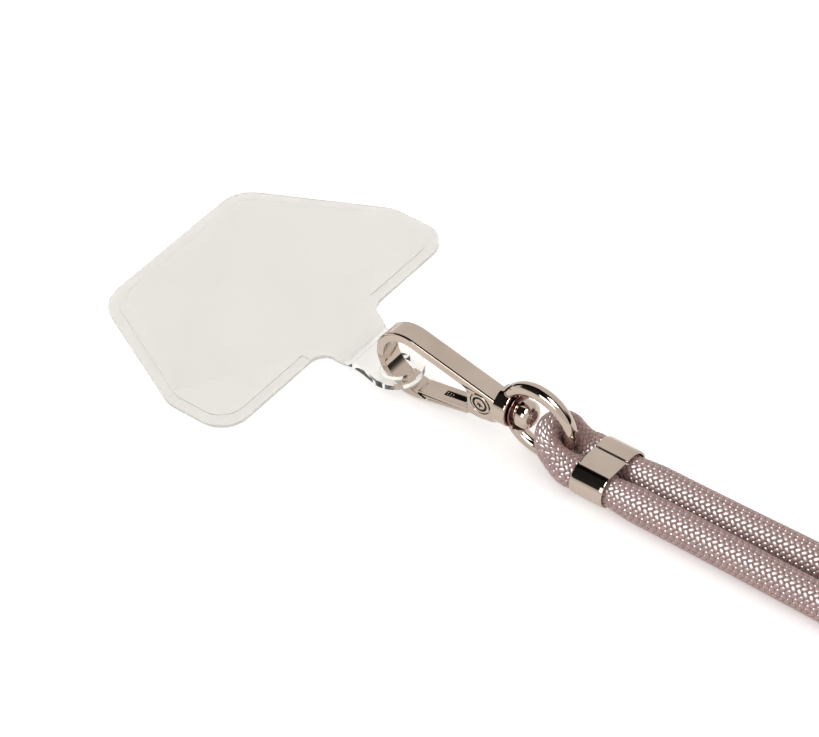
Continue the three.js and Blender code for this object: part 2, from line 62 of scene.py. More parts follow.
# %% [markdown]
# The camera looks down on the strap from the near side with a long lens, as a product photographer
# does, so that the pad and the rope keep their shapes. Its place and turn were worked out from the
# photograph's own perspective: a long focal length and a distance of about eighty centimetres.

# %% The camera
CAMERA_PLACE = (0.42175, -0.42263, 0.54077)
CAMERA_TURN = (46.398, 3.395, 38.835)
CAMERA_LENS = 174.03

camera_data = bpy.data.cameras.new("product_camera")
camera_data.lens = CAMERA_LENS
camera_data.sensor_width = 36
camera_data.clip_start = 0.01
camera = bpy.data.objects.new("product_camera", camera_data)
camera.location = CAMERA_PLACE
camera.rotation_euler = [radians(angle) for angle in CAMERA_TURN]
bpy.context.scene.collection.objects.link(camera)
bpy.context.scene.camera = camera
bpy.context.scene.view_settings.view_transform = "Standard"
print("lens:", camera_data.lens, "mm")

# %% [markdown]
# The rope is one round braid of satin yarn, seven millimetres thick. It could be a smooth tube with a
# bump pattern, but the real one sparkles because each short visible float of yarn is a small rounded
# cushion. So the route is a line of given points, a smooth curve runs through them, and small
# cushions are laid on a core along that curve, each column slanting the other way to its neighbour. The
# loop goes round the hook's ring, through the ferrule and out to a sleeve where the rope's ends meet.

# %% The rope's route
ROUTE_STEP = 0.25 * MM
CURVE_PARTS = 200
BIGHT_ROUTE = [
    (0.0955, -0.00655, 0.0038),
    (0.0885, -0.00655, 0.0038),
    (0.0844, -0.0071, 0.0046),
    (0.0801, -0.0064, 0.0070),
    (0.0786, -0.0033, 0.0082),
    (0.0801, 0.0, 0.0068),
    (0.0844, 0.0003, 0.0042),
    (0.0885, 0.00045, 0.0038),
    (0.0955, 0.00045, 0.0038),
]
LEFT_ROUTE = [
    (0.0958, 0.00045, 0.0035),
    (0.130, 0.0008, 0.0035),
    (0.165, 0.0019, 0.0035),
    (0.240, 0.010, 0.0035),
    (0.340, 0.029, 0.0035),
    (0.450, 0.046, 0.0035),
    (0.540, 0.051, 0.00355),
    (0.600, 0.0455, 0.0036),
    (0.635, 0.034, 0.0039),
    (0.654, 0.023, 0.0044),
    (0.660, 0.015, 0.0046),
    (0.660, 0.006, 0.0046),
    (0.660, -0.0029, 0.0046),
]
RIGHT_ROUTE = [
    (0.0958, -0.00655, 0.0035),
    (0.130, -0.0069, 0.0035),
    (0.165, -0.008, 0.0035),
    (0.240, -0.0161, 0.0035),
    (0.340, -0.0351, 0.0035),
    (0.450, -0.0521, 0.0035),
    (0.540, -0.0571, 0.00355),
    (0.600, -0.0516, 0.0036),
    (0.635, -0.0401, 0.0039),
    (0.654, -0.0291, 0.0044),
    (0.660, -0.0211, 0.0046),
    (0.660, -0.0121, 0.0046),
    (0.660, -0.0032, 0.0046),
]


def smooth_line(route):
    """Evenly spaced points on a centripetal Catmull-Rom curve through the route's points."""
    points = np.array(route)
    points = np.vstack([2 * points[0] - points[1], points, 2 * points[-1] - points[-2]])
    line = []
    for p0, p1, p2, p3 in zip(points, points[1:], points[2:], points[3:]):
        gaps = [np.linalg.norm(b - a) ** 0.5 for a, b in ((p0, p1), (p1, p2), (p2, p3))]
        lean1 = (p1 - p0) / gaps[0] - (p2 - p0) / (gaps[0] + gaps[1]) + (p2 - p1) / gaps[1]
        lean2 = (p2 - p1) / gaps[1] - (p3 - p1) / (gaps[1] + gaps[2]) + (p3 - p2) / gaps[2]
        lean1, lean2 = lean1 * gaps[1], lean2 * gaps[1]
        for t in np.linspace(0, 1, CURVE_PARTS, endpoint=False):
            bend = 2 * p1 - 2 * p2 + lean1 + lean2
            pull = -3 * p1 + 3 * p2 - 2 * lean1 - lean2
            line.append(bend * t**3 + pull * t**2 + lean1 * t + p1)
    line = np.array(line + [points[-2]])
    run = np.concatenate([[0], np.cumsum(np.linalg.norm(np.diff(line, axis=0), axis=1))])
    marks = np.arange(0, run[-1], ROUTE_STEP)
    return np.stack([np.interp(marks, run, line[:, k]) for k in range(3)], axis=1)


for name, route in (("bight", BIGHT_ROUTE), ("left", LEFT_ROUTE), ("right", RIGHT_ROUTE)):
    print(name, "length:", round(len(smooth_line(route)) * ROUTE_STEP / MM), "mm")

# %% [markdown]
# A float is the short stretch of yarn that shows before it dives under its neighbour. Thousands of them
# could be carved from a very fine tube, but one float is modelled once instead, from a grid that is flat
# on top and turns down at its rims, and every piece of rope is made from copies of it. Its sizes follow
# from the braid: twenty columns round the rope, and one float in each column every 1.36 mm.

# %% One float of yarn
COLUMNS = 20
PITCH = 1.36 * MM
FLOAT_HALF_LENGTH = 0.88 * MM
FLOAT_HALF_WIDTH = 0.62 * MM
FLOAT_RISE = 0.3 * MM
FLOAT_DIP = 0.26 * MM
FLOAT_SLANT = radians(45)
FLOAT_TAPER = 0.45
FLOAT_FLATNESS = 5


def deselect():
    bpy.ops.object.select_all(action="DESELECT")


def float_model(along, across):
    """The grid of one float: its places along, across and up, and its faces."""
    deselect()
    bpy.ops.mesh.primitive_grid_add(x_subdivisions=along, y_subdivisions=across, size=2)
    grid = bpy.context.object
    flat = np.array([tuple(v.co) for v in grid.data.vertices])
    faces = np.array([tuple(p.vertices) for p in grid.data.polygons])
    bpy.data.objects.remove(grid)
    a, b = flat[:, 0], flat[:, 1]
    places = np.stack([
        a * FLOAT_HALF_LENGTH,
        b * FLOAT_HALF_WIDTH * np.sqrt(1 - FLOAT_TAPER * a**2),
        -FLOAT_RISE * np.abs(b) ** FLOAT_FLATNESS - FLOAT_DIP * np.abs(a) ** FLOAT_FLATNESS,
    ], axis=1)
    return places, faces, np.stack([a, b], axis=1) * 0.5 + 0.5


print("float:", round(2 * FLOAT_HALF_LENGTH / MM, 2), "by", round(2 * FLOAT_HALF_WIDTH / MM, 2), "mm")

# %% [markdown]
# Between the floats of a real braid the eye meets more yarn, deep in the shade. Here a plain closed tube
# lies under the floats and fills the gaps. It could be a curve with a round bevel, but the rope changes
# its width and its height where it is pressed, so the rings are laid by sideways and upward directions.

# %% The core under the floats
CORE_SIDES = 2 * COLUMNS
CORE_STEP = 0.9 * MM
CORE_INSET = FLOAT_RISE + 0.3 * FLOAT_DIP


def frames_along(line):
    """Side and up directions at each point of a line that lies near the level."""
    forward = np.gradient(line, axis=0)
    forward /= np.linalg.norm(forward, axis=1)[:, None]
    side = np.cross((0, 0, 1), forward)
    side /= np.linalg.norm(side, axis=1)[:, None]
    return side, np.cross(forward, side)


def tube_rings(line, radii_side, radii_up, sides):
    """Points of a tube's rings round a line, one ring for each of its points."""
    side, up = frames_along(line)
    turns = np.arange(sides) * 2 * pi / sides
    ring_side = np.outer(radii_side, np.cos(turns))[:, :, None] * side[:, None, :]
    ring_up = np.outer(radii_up, np.sin(turns))[:, :, None] * up[:, None, :]
    return line[:, None, :] + ring_side + ring_up


def core_of(line, radii_side, radii_up):
    """The plain closed core under the floats: its points, and its faces counted from nought."""
    picked = np.arange(0, len(line), max(1, round(CORE_STEP / np.linalg.norm(line[1] - line[0]))))
    rings = tube_rings(line, radii_side - CORE_INSET, radii_up - CORE_INSET, CORE_SIDES)[picked]
    faces = []
    for low in range(0, (len(picked) - 1) * CORE_SIDES, CORE_SIDES):
        high = low + CORE_SIDES
        for s in range(CORE_SIDES):
            t = (s + 1) % CORE_SIDES
            faces.append([low + s, high + s, high + t, low + t])
    last = (len(picked) - 1) * CORE_SIDES
    faces.append(list(range(CORE_SIDES)))
    faces.append(list(range(last, last + CORE_SIDES))[::-1])
    return rings.reshape(-1, 3), faces


print("core:", CORE_SIDES, "sides,", round(CORE_INSET / MM, 2), "mm under the floats' tops")

# %% [markdown]
# In the braid half of the yarns run one way round the rope and half the other way, so each column of
# floats slants against its neighbours and starts half a float later. Every float is wrapped round the
# rope at its own place. Its height and a random shade are kept as attributes for the yarn's material.

# %% The braid
FIRST_ROW = 0.75
SHADE_SEED = 7


def lay_float(places, middle, turn, slant, line, radii_side, radii_up, directions):
    """The points of one float: its model, slanted and wrapped round the rope at a place and a turn."""
    side, up = directions
    x = middle + places[:, 0] * cos(slant) - places[:, 1] * sin(slant)
    around = places[:, 0] * sin(slant) + places[:, 1] * cos(slant)
    index = np.clip(x / np.linalg.norm(line[1] - line[0]), 0, len(line) - 1.001)
    low = index.astype(int)
    share = (index - low)[:, None]
    centre = line[low] * (1 - share) + line[low + 1] * share
    wide, high, lift = radii_side[low], radii_up[low], places[:, 2]
    angle = turn + around / (0.5 * (wide + high))
    out_side = ((wide + lift) * np.cos(angle))[:, None] * side[low]
    out_up = ((high + lift) * np.sin(angle))[:, None] * up[low]
    return centre + out_side + out_up


def braid(name, line, radii_side, radii_up, grid, twist=0.0, phase=0.0):
    """A piece of braided rope: floats in slanting columns on a core, along a line of even steps."""
    places, faces, grid_uv = float_model(*grid)
    directions = frames_along(line)
    rows = int(np.linalg.norm(line[1] - line[0]) * (len(line) - 1) / PITCH) - 1
    rng = np.random.default_rng(SHADE_SEED)
    points, polygons, shades = [], [], []
    for column in range(COLUMNS):
        odd = column % 2
        for row in range(rows):
            middle = (row + FIRST_ROW + 0.5 * odd) * PITCH
            turn = 2 * pi * column / COLUMNS + twist * middle + phase
            slant = FLOAT_SLANT if odd else -FLOAT_SLANT
            polygons.append(faces + len(points) * len(places))
            points.append(lay_float(places, middle, turn, slant, line, radii_side, radii_up, directions))
            shades.append(np.full(len(places), rng.uniform(0, 1)))
    core_points, core_faces = core_of(line, radii_side, radii_up)
    floats, plain = len(points), np.zeros(len(core_points))
    count = floats * len(places)
    all_faces = np.concatenate(polygons).tolist() + [[count + v for v in face] for face in core_faces]
    mesh = bpy.data.meshes.new(name)
    mesh.from_pydata(np.concatenate(points + [core_points]).tolist(), [], all_faces)
    corners = np.array([loop.vertex_index for loop in mesh.loops])
    uvs = np.concatenate([np.tile(grid_uv, (floats, 1)), np.zeros((len(core_points), 2))])
    mesh.uv_layers.new(name="UVMap").data.foreach_set("uv", uvs[corners].ravel())
    shade = np.concatenate(shades + [plain])
    mesh.attributes.new("shade", "FLOAT", "POINT").data.foreach_set("value", shade)
    heights = (places[:, 2] + FLOAT_RISE + FLOAT_DIP) / (FLOAT_RISE + FLOAT_DIP)
    height = np.concatenate([np.tile(heights, floats), plain])
    mesh.attributes.new("height", "FLOAT", "POINT").data.foreach_set("value", height)
    mesh.polygons.foreach_set("use_smooth", [True] * len(mesh.polygons))
    piece = bpy.data.objects.new(name, mesh)
    bpy.context.scene.collection.objects.link(piece)
    print(name, "rows:", rows, "faces:", len(mesh.polygons))
    return piece


print("columns:", COLUMNS, "pitch:", round(PITCH / MM, 2), "mm")

# %% [markdown]
# The rope is full round along its strands, a little pressed where the ferrule grips it, and narrower
# from side to side where it is pulled round the ring. Fine floats all the way would make a heavy model,
# so only the stretch near the hook has them, and the long rest of the loop has the same floats with fewer
# faces. Each strand starts inside the ferrule, pressed, and swells to its full thickness behind it.

# %% The rope's pieces
ROPE_RADIUS = 3.5 * MM
ROPE_PRESSED = 3.05 * MM
FINE_LENGTH = 84 * MM
BIGHT_SHARES = [0, 0.16, 0.24, 0.3, 0.35, 0.41, 0.5]
BIGHT_WIDTHS = [1, 1.15, 1.17, 0.95, 0.8, 0.84, 0.88]
BIGHT_HEIGHTS = [1, 1.04, 1.06, 1.08, 1.1, 1.12, 1.12]
FINE_GRID = (7, 5)
COARSE_GRID = (3, 2)
LEAD_IN = 6 * MM
LEAD_HEIGHT = 3.8 * MM
SWELL_END = 11 * MM


def strand_pieces(side_name, route, twist, phase):
    """The fine and the coarse length of one strand, which meet where the photograph ends."""
    line = smooth_line([(route[0][0] - LEAD_IN, route[0][1], LEAD_HEIGHT), *route])
    run = np.arange(len(line)) * ROUTE_STEP
    radii = np.interp(run, [0, LEAD_IN, SWELL_END], [ROPE_PRESSED, ROPE_PRESSED, ROPE_RADIUS])
    cut = int(round(FINE_LENGTH / PITCH) * PITCH / ROUTE_STEP)
    end = cut + int(PITCH / ROUTE_STEP) + 1
    turned = phase + twist * cut * ROUTE_STEP
    fine = braid(f"braid_{side_name}_near", line[:end], radii[:end], radii[:end], FINE_GRID, twist, phase)
    coarse = braid(f"braid_{side_name}_far", line[cut:], radii[cut:], radii[cut:],
                   COARSE_GRID, twist, turned)
    return fine, coarse


bight_line = smooth_line(BIGHT_ROUTE)
along = np.linspace(0, 1, len(bight_line))
mirrored = np.minimum(along, 1 - along)
bight_wide = ROPE_PRESSED * np.interp(mirrored, BIGHT_SHARES, BIGHT_WIDTHS)
bight_high = ROPE_PRESSED * np.interp(mirrored, BIGHT_SHARES, BIGHT_HEIGHTS)
bight = braid("braid_bight", bight_line, bight_wide, bight_high, FINE_GRID)
left_near, left_far = strand_pieces("left", LEFT_ROUTE, twist=3.0, phase=0.1)
right_near, right_far = strand_pieces("right", RIGHT_ROUTE, twist=-2.0, phase=0.2)
rope_pieces = [bight, left_near, left_far, right_near, right_far]
for piece in rope_pieces:
    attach(piece, "strap")
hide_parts("rope_bight")
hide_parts("rope_left")
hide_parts("rope_left")
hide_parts("rope_right")
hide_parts("rope_right")

# %% [markdown]
# The yarn is dusty mauve satin with painted shade in the gaps: darker and redder deep between the floats,
# pale on the crown of each float. The fibres run along the float, so a fine streak follows the piece's
# own UV map, and the height attribute that the braid carries sets where the painted shade falls.

# %% The rope's material


def new_material(name):
    """A material with its Principled shader, its nodes and its links."""
    material = bpy.data.materials.new(name)
    material.use_nodes = True
    nodes = material.node_tree.nodes
    return material, nodes["Principled BSDF"], nodes, material.node_tree.links


def ramp(nodes, stops, mode="LINEAR"):
    """A colour ramp with the given places and colours."""
    node = nodes.new("ShaderNodeValToRGB")
    node.color_ramp.interpolation = mode
    elements = node.color_ramp.elements
    while len(elements) < len(stops):
        elements.new(0.5)
    for element, (place, colour) in zip(elements, stops):
        element.position = place
        element.color = (*colour, 1) if len(colour) == 3 else colour
    return node


def satin_yarn():
    material, shader, nodes, links = new_material("satin_yarn")
    height = nodes.new("ShaderNodeAttribute")
    height.attribute_name = "height"
    shade = nodes.new("ShaderNodeAttribute")
    shade.attribute_name = "shade"
    # Painted shade: the floats darken and redden towards their low rims, and the core lies darkest.
    gap_painted_shade = ramp(nodes, [
        (0.2, (0.07, 0.042, 0.04)),
        (0.6, (0.25, 0.15, 0.14)),
        (1.0, (0.335, 0.208, 0.193)),
    ])
    links.new(height.outputs["Fac"], gap_painted_shade.inputs["Fac"])
    tint = ramp(nodes, [(0.0, (0.86, 0.84, 0.85)), (1.0, (1.06, 1.04, 1.03))])
    links.new(shade.outputs["Fac"], tint.inputs["Fac"])
    mixed = nodes.new("ShaderNodeMix")
    mixed.data_type = "RGBA"
    mixed.blend_type = "MULTIPLY"
    mixed.inputs["Factor"].default_value = 1
    links.new(gap_painted_shade.outputs["Color"], mixed.inputs[6])
    links.new(tint.outputs["Color"], mixed.inputs[7])
    links.new(mixed.outputs[2], shader.inputs["Base Color"])
    uv = nodes.new("ShaderNodeUVMap")
    uv.uv_map = "UVMap"
    stretch = nodes.new("ShaderNodeMapping")
    stretch.inputs["Scale"].default_value = (1.2, 9, 1)
    links.new(uv.outputs["UV"], stretch.inputs["Vector"])
    fibre = nodes.new("ShaderNodeTexNoise")
    fibre.inputs["Scale"].default_value = 1.6
    fibre.inputs["Detail"].default_value = 3
    links.new(stretch.outputs["Vector"], fibre.inputs["Vector"])
    bump = nodes.new("ShaderNodeBump")
    bump.inputs["Strength"].default_value = 0.35
    bump.inputs["Distance"].default_value = 0.08 * MM
    links.new(fibre.outputs["Fac"], bump.inputs["Height"])
    links.new(bump.outputs["Normal"], shader.inputs["Normal"])
    shader.inputs["Roughness"].default_value = 0.39
    shader.inputs["Specular IOR Level"].default_value = 0.75
    shader.inputs["Sheen Weight"].default_value = 0.15
    shader.inputs["Sheen Roughness"].default_value = 0.4
    return material


YARN = satin_yarn()
for piece in rope_pieces:
    piece.data.materials.append(YARN)
print("rope pieces:", len(rope_pieces))

# %% [markdown]
# The hook, its gate and the fittings on the rope are cast or pressed zinc with a warm polished nickel
# plating, almost a mirror. A mirror shows what stands round it, so the finish is a slightly tinted
# metal with low roughness, and a very faint slow unevenness that makes its reflections wander. Deep in
# the ring's recess a darker, redder and rougher mix of it is painted shade with the rope's reflection
# painted in. In the rivet's groove and the gate's hollow, a dull, almost black metal is painted shade.

# %% The metals


def polished_nickel(name, roughness, waviness, low=(0.46, 0.38, 0.32), high=(0.515, 0.43, 0.367)):
    material, shader, nodes, links = new_material(name)
    place = nodes.new("ShaderNodeTexCoord")
    slow = nodes.new("ShaderNodeTexNoise")
    slow.inputs["Scale"].default_value = 130
    slow.inputs["Detail"].default_value = 2
    links.new(place.outputs["Object"], slow.inputs["Vector"])
    tone = ramp(nodes, [(0.3, low), (0.7, high)])
    links.new(slow.outputs["Fac"], tone.inputs["Fac"])
    links.new(tone.outputs["Color"], shader.inputs["Base Color"])
    fine = nodes.new("ShaderNodeTexNoise")
    fine.inputs["Scale"].default_value = 900
    links.new(place.outputs["Object"], fine.inputs["Vector"])
    spread = nodes.new("ShaderNodeMapRange")
    spread.inputs["To Min"].default_value = roughness * 0.8
    spread.inputs["To Max"].default_value = roughness * 1.3
    links.new(fine.outputs["Fac"], spread.inputs["Value"])
    links.new(spread.outputs["Result"], shader.inputs["Roughness"])
    bump = nodes.new("ShaderNodeBump")
    bump.inputs["Strength"].default_value = waviness
    bump.inputs["Distance"].default_value = 0.4 * MM
    links.new(slow.outputs["Fac"], bump.inputs["Height"])
    links.new(bump.outputs["Normal"], shader.inputs["Normal"])
    shader.inputs["Metallic"].default_value = 1
    return material


CAST_NICKEL = polished_nickel("cast_nickel", 0.075, 0.05)
PRESSED_NICKEL = polished_nickel("pressed_nickel", 0.09, 0.08)
# Painted shade with a painted reflection of the rope, for the ring's recess and the post's shaft and
# collar.
RECESS_PAINTED_SHADE = polished_nickel("recess_painted_shade", 0.22, 0.3, (0.15, 0.075, 0.065), (0.26, 0.14, 0.12))
# Dull and almost black: painted shade for the rivet's groove and the gate's hollow.
HOLLOW_PAINTED_SHADE, hollow_shade_shader, _, _ = new_material("hollow_painted_shade")
hollow_shade_shader.inputs["Base Color"].default_value = (0.012, 0.011, 0.010, 1)
hollow_shade_shader.inputs["Metallic"].default_value = 0.4
hollow_shade_shader.inputs["Roughness"].default_value = 0.65
print("metals:", [m.name for m in (CAST_NICKEL, PRESSED_NICKEL, RECESS_PAINTED_SHADE, HOLLOW_PAINTED_SHADE)])

# %% [markdown]
# On the real casting every rim is rounded by polishing: the long rims of its two flat sides broadly, and
# the small edges only a little. One width for all would swallow the small parts, so each sharp edge gets
# a weight, and the bevel later follows it.

# %% Which rims are broad
FINE_RIM_SHARE = 0.22
SAME_SIDE = 0.01 * MM


def weigh_rims(mesh, angle, broad, delicate):
    """Gives each sharp edge of a mesh a bevel weight: whole on the flat sides' rims, small elsewhere."""
    shape = bmesh.new()
    shape.from_mesh(mesh)
    weight = shape.edges.layers.float.new("bevel_weight_edge")
    count = 0
    for edge in shape.edges:
        if len(edge.link_faces) != 2 or edge.calc_face_angle() < radians(angle):
            continue
        ends = [vertex.co for vertex in edge.verts]
        on_side = all(abs(end.y - SWIVEL.y) > broad for end in ends)
        same_side = abs(ends[0].y - ends[1].y) < SAME_SIDE
        outward = min((face.normal for face in edge.link_faces), key=lambda normal: abs(normal.y))
        rim = on_side and same_side and not delicate((ends[0] + ends[1]) / 2, outward)
        edge[weight] = 1.0 if rim else FINE_RIM_SHARE
        count += rim
    shape.to_mesh(mesh)
    shape.free()
    print("broad rims:", count)


print("fine rims have", FINE_RIM_SHARE, "of the broad rims' width")

# %% [markdown]
# The hook's band, its gate and the rivet have the right shapes already in the frame, but with edges as
# sharp as a knife's. They could be modelled anew, but a copy keeps them true to the solids. It is merged,
# its flat faces are joined and split only where they are hollow in outline, and a Bevel rounds the rims.
# Weighted normals keep the broad faces flat in their reflections.

# %% A rounded copy of a frame piece
SAME_POINT = 0.02 * MM
SAME_PLANE = 1.5
SMOOTH_BELOW = 40


def active(piece):
    """Makes one object the only one selected and the active one."""
    deselect()
    piece.select_set(True)
    bpy.context.view_layer.objects.active = piece


def finish_rims(piece, width, segments=4, angle=32, weighed=False):
    """Bevels the sharp rims, shades the piece smooth and turns its normals with its broad faces."""
    active(piece)
    bevel = piece.modifiers.new("rims", "BEVEL")
    bevel.width = width
    bevel.segments = segments
    bevel.limit_method = "WEIGHT" if weighed else "ANGLE"
    bevel.angle_limit = radians(angle)
    bevel.use_clamp_overlap = not weighed
    bevel.face_strength_mode = "FSTR_ALL"
    bpy.ops.object.modifier_apply(modifier=bevel.name)
    bpy.ops.object.shade_smooth_by_angle(angle=radians(SMOOTH_BELOW))
    weighted = piece.modifiers.new("weights", "WEIGHTED_NORMAL")
    weighted.keep_sharp = True
    weighted.use_face_influence = True
    bpy.ops.object.modifier_apply(modifier=weighted.name)


def never(_centre, _outward):
    """For a piece that has no delicate places."""
    return False


def rounded_copy(node, name, body, width, material, segments=5, angle=32, broad=0.0, delicate=never):
    """A copy of a frame node with rounded rims, which stands for it on the same body.

    Where a broad half-width is given, only the rims on the piece's two flat sides get the whole width,
    apart from those that the delicate test picks out, and every other sharp edge gets a fine rim.
    """
    mesh = frame["nodes"][node].data.copy()
    mesh.materials.clear()
    piece = bpy.data.objects.new(name, mesh)
    bpy.context.scene.collection.objects.link(piece)
    active(piece)
    bpy.ops.object.mode_set(mode="EDIT")
    bpy.ops.mesh.select_all(action="SELECT")
    bpy.ops.mesh.remove_doubles(threshold=SAME_POINT)
    bpy.ops.mesh.dissolve_limited(angle_limit=radians(SAME_PLANE))
    bpy.ops.mesh.select_all(action="SELECT")
    bpy.ops.mesh.vert_connect_concave()
    bpy.ops.object.mode_set(mode="OBJECT")
    if broad:
        weigh_rims(mesh, angle, broad, delicate)
    finish_rims(piece, width, segments, angle, weighed=bool(broad))
    piece.data.materials.append(material)
    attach(piece, body)
    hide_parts(node)
    print(name, "faces:", len(piece.data.polygons))
    return piece


print("faces within", SAME_PLANE, "degrees are joined, and edges below", SMOOTH_BELOW, "are smooth")

# %% [markdown]
# The rims round the two flat sides of the hook and the gate are broad. Near the rivet, on the thin tips
# and inside the hook's opening there is no room for that, so those rims are fine, like all small ones.

# %% The hook, its gate and the rivet
OPENING_MIDDLE = Vector((0.0500, -0.0035, 0.0085))
RIVET_POCKET = 2.9 * MM
JAW_TIP_START = 45.2 * MM
JAW_TIP_END = 50 * MM
JAW_TIP_TOP = 4 * MM
GATE_TIP_END = 50.2 * MM
HOOK_RIM = 0.5 * MM
HOOK_BROAD = 2.2 * MM
GATE_RIM = 0.6 * MM
GATE_BROAD = 1.95 * MM
RIVET_RIM = 0.12 * MM


def from_pivot(place):
    """How far a place lies from the gate's hinge axis."""
    return Vector((place.x - PIVOT.x, place.z - PIVOT.z)).length


def near_hook_details(centre, outward):
    """The rivet's pockets, the thin tip of the jaw and the rims inside the hook's opening."""
    on_jaw_tip = JAW_TIP_START < centre.x < JAW_TIP_END and centre.z < JAW_TIP_TOP
    in_opening = outward.dot(OPENING_MIDDLE - centre) > 0
    return from_pivot(centre) < RIVET_POCKET or on_jaw_tip or in_opening


def near_gate_tip(centre, _outward):
    """The gate's thin tip and its step."""
    return centre.x < GATE_TIP_END


hook = rounded_copy("hook_body", "hook_band", "hook", HOOK_RIM, CAST_NICKEL,
                    broad=HOOK_BROAD, delicate=near_hook_details)
gate = rounded_copy("gate_lever", "gate_bar", "gate", GATE_RIM, CAST_NICKEL,
                    broad=GATE_BROAD, delicate=near_gate_tip)
rivet = rounded_copy("gate_rivet", "rivet_pin", "hook", RIVET_RIM, CAST_NICKEL)

# %% [markdown]
# The rivet's head is dished by the punch that spreads it: a ring groove and a six-pointed recess. A bump
# pattern would look flat here, so both are cut from each head, the groove with a thin torus and the star
# with a twelve-sided prism whose every other corner is drawn in. The groove is painted almost black, as
# shade.

# %% The marks of the punch on the rivet
RIVET_HALF_LENGTH = 2.4 * MM
GROOVE_RADIUS = 1.5 * MM
GROOVE_WIRE = 0.27 * MM
STAR_RADIUS = 1.0 * MM
STAR_WAIST = 0.5
STAR_DEPTH = 0.3 * MM
GROOVE_REACH = 1.2 * GROOVE_WIRE
FLAT_HEAD = 0.97


def place_applied(piece):
    """Puts the object at the origin and its place into its mesh."""
    active(piece)
    bpy.ops.object.transform_apply(location=True, rotation=True, scale=True)
    return piece


def combine(piece, tool, operation):
    """Joins the tool to the piece or cuts it away, and removes the tool."""
    active(piece)
    boolean = piece.modifiers.new("combine", "BOOLEAN")
    boolean.operation = operation
    boolean.solver = "EXACT"
    boolean.object = tool
    bpy.ops.object.modifier_apply(modifier=boolean.name)
    bpy.data.objects.remove(tool)


for side in (-1, 1):
    face_place = PIVOT + Vector((0, side * RIVET_HALF_LENGTH, 0))
    deselect()
    bpy.ops.mesh.primitive_torus_add(major_segments=48, minor_segments=12, major_radius=GROOVE_RADIUS,
                                     minor_radius=GROOVE_WIRE, location=face_place, rotation=(pi / 2, 0, 0))
    combine(rivet, place_applied(bpy.context.object), "DIFFERENCE")
    deselect()
    bpy.ops.mesh.primitive_cylinder_add(vertices=12, radius=STAR_RADIUS, depth=2 * STAR_DEPTH,
                                        location=face_place, rotation=(pi / 2, 0, 0))
    star = place_applied(bpy.context.object)
    for corner, vertex in enumerate(star.data.vertices):
        if (corner // 2) % 2:
            spoke = vertex.co - face_place
            vertex.co.x -= (1 - STAR_WAIST) * spoke.x
            vertex.co.z -= (1 - STAR_WAIST) * spoke.z
    combine(rivet, star, "DIFFERENCE")
rivet.data.materials.append(HOLLOW_PAINTED_SHADE)
for face in rivet.data.polygons:
    in_groove = abs(from_pivot(face.center) - GROOVE_RADIUS) < GROOVE_REACH
    face.material_index = int(in_groove and abs(face.normal.y) < FLAT_HEAD)
print("rivet faces:", len(rivet.data.polygons))

# %% [markdown]
# The gate's top is hollowed for its spring, and the hollow is painted almost black, as shade. The frame's
# piece has the hollow already, so its faces are only found by their place and get the same painted shade
# as the groove.

# %% The gate's hollow
SLOT_START = 52.7 * MM
SLOT_LENGTH = 5.4 * MM
SLOT_REACH = 0.73 * MM
SLOT_SLACK = 0.1 * MM
SLOT_FLOOR = 0.4 * MM
SLOT_LARGEST_FACE = 12 * MM * MM
DOWNWARD = -0.5

gate.data.materials.append(HOLLOW_PAINTED_SHADE)
gate_low, gate_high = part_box("gate_lever")
for face in gate.data.polygons:
    centre = face.center
    along_slot = SLOT_START - SLOT_SLACK < centre.x < SLOT_START + SLOT_LENGTH + SLOT_SLACK
    inside = along_slot and abs(centre.y - SWIVEL.y) < SLOT_REACH and centre.z > gate_low.z + SLOT_FLOOR
    face.material_index = int(inside and face.normal.z > DOWNWARD and face.area < SLOT_LARGEST_FACE)
print("dull faces in the hollow:", sum(face.material_index for face in gate.data.polygons))

# %% [markdown]
# A small spring of wire lies in the hollow, and only its front end shows. A full helix would be wasted
# on it, so one torus stands for a turn and is copied along the hollow's floor, which a ray finds.

# %% The spring in the hollow
SPRING_SHARES = (0.1, 0.34)
SPRING_RADIUS = 0.36 * MM
SPRING_WIRE = 0.12 * MM
SPRING_TURNS = 3

bpy.context.view_layer.update()
ends = []
for share in SPRING_SHARES:
    above = Vector((SLOT_START + share * SLOT_LENGTH, SWIVEL.y, gate_high.z + MM))
    floor_place = gate.ray_cast(above, Vector((0, 0, -1)))[1]
    ends.append(floor_place + Vector((0, 0, SPRING_RADIUS + SPRING_WIRE)))
run = ends[1] - ends[0]
lean = run.to_track_quat("Z", "Y").to_euler()
deselect()
bpy.ops.mesh.primitive_torus_add(major_segments=24, minor_segments=8, major_radius=SPRING_RADIUS,
                                 minor_radius=SPRING_WIRE, location=ends[0], rotation=lean)
spring = place_applied(bpy.context.object)
spring.name = "gate_spring"
turns = spring.modifiers.new("turns", "ARRAY")
turns.count = SPRING_TURNS
turns.use_relative_offset = False
turns.use_constant_offset = True
turns.constant_offset_displace = run / (SPRING_TURNS - 1)
bpy.ops.object.modifier_apply(modifier=turns.name)
bpy.ops.object.shade_smooth()
spring.data.materials.append(CAST_NICKEL)
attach(spring, "gate")
print("spring from", [round(c / MM, 1) for c in ends[0]], "to", [round(c / MM, 1) for c in ends[1]], "mm")

# %% [markdown]
# The ring is a round wire with a thick boss, and it has to mirror cleanly, so it is made again from a
# fine torus. A cylinder is joined to it for the boss, and three more are cut away: the flat front, the
# recess in which the post's head turns, and the bore for the post itself. The recess's faces are found
# by their place and get a dark reddish colour: painted shade, with the rope's reflection painted in.

# %% The swivel ring
RING_RADIUS = 7.45 * MM
RING_WIRE = 1.5 * MM
BOSS_RADIUS = 4.0 * MM
BOSS_FRONT = -8.6 * MM
BOSS_SEAT = -5.6 * MM
RECESS_RADIUS = 4.5 * MM
BOSS_RIM = 0.55 * MM
POST_RADIUS = 1.5 * MM
PLAY = 0.3 * MM
RING_RIM = 0.14 * MM
SEAT_SLACK = 0.2 * MM
WALL_SLACK = 0.05 * MM


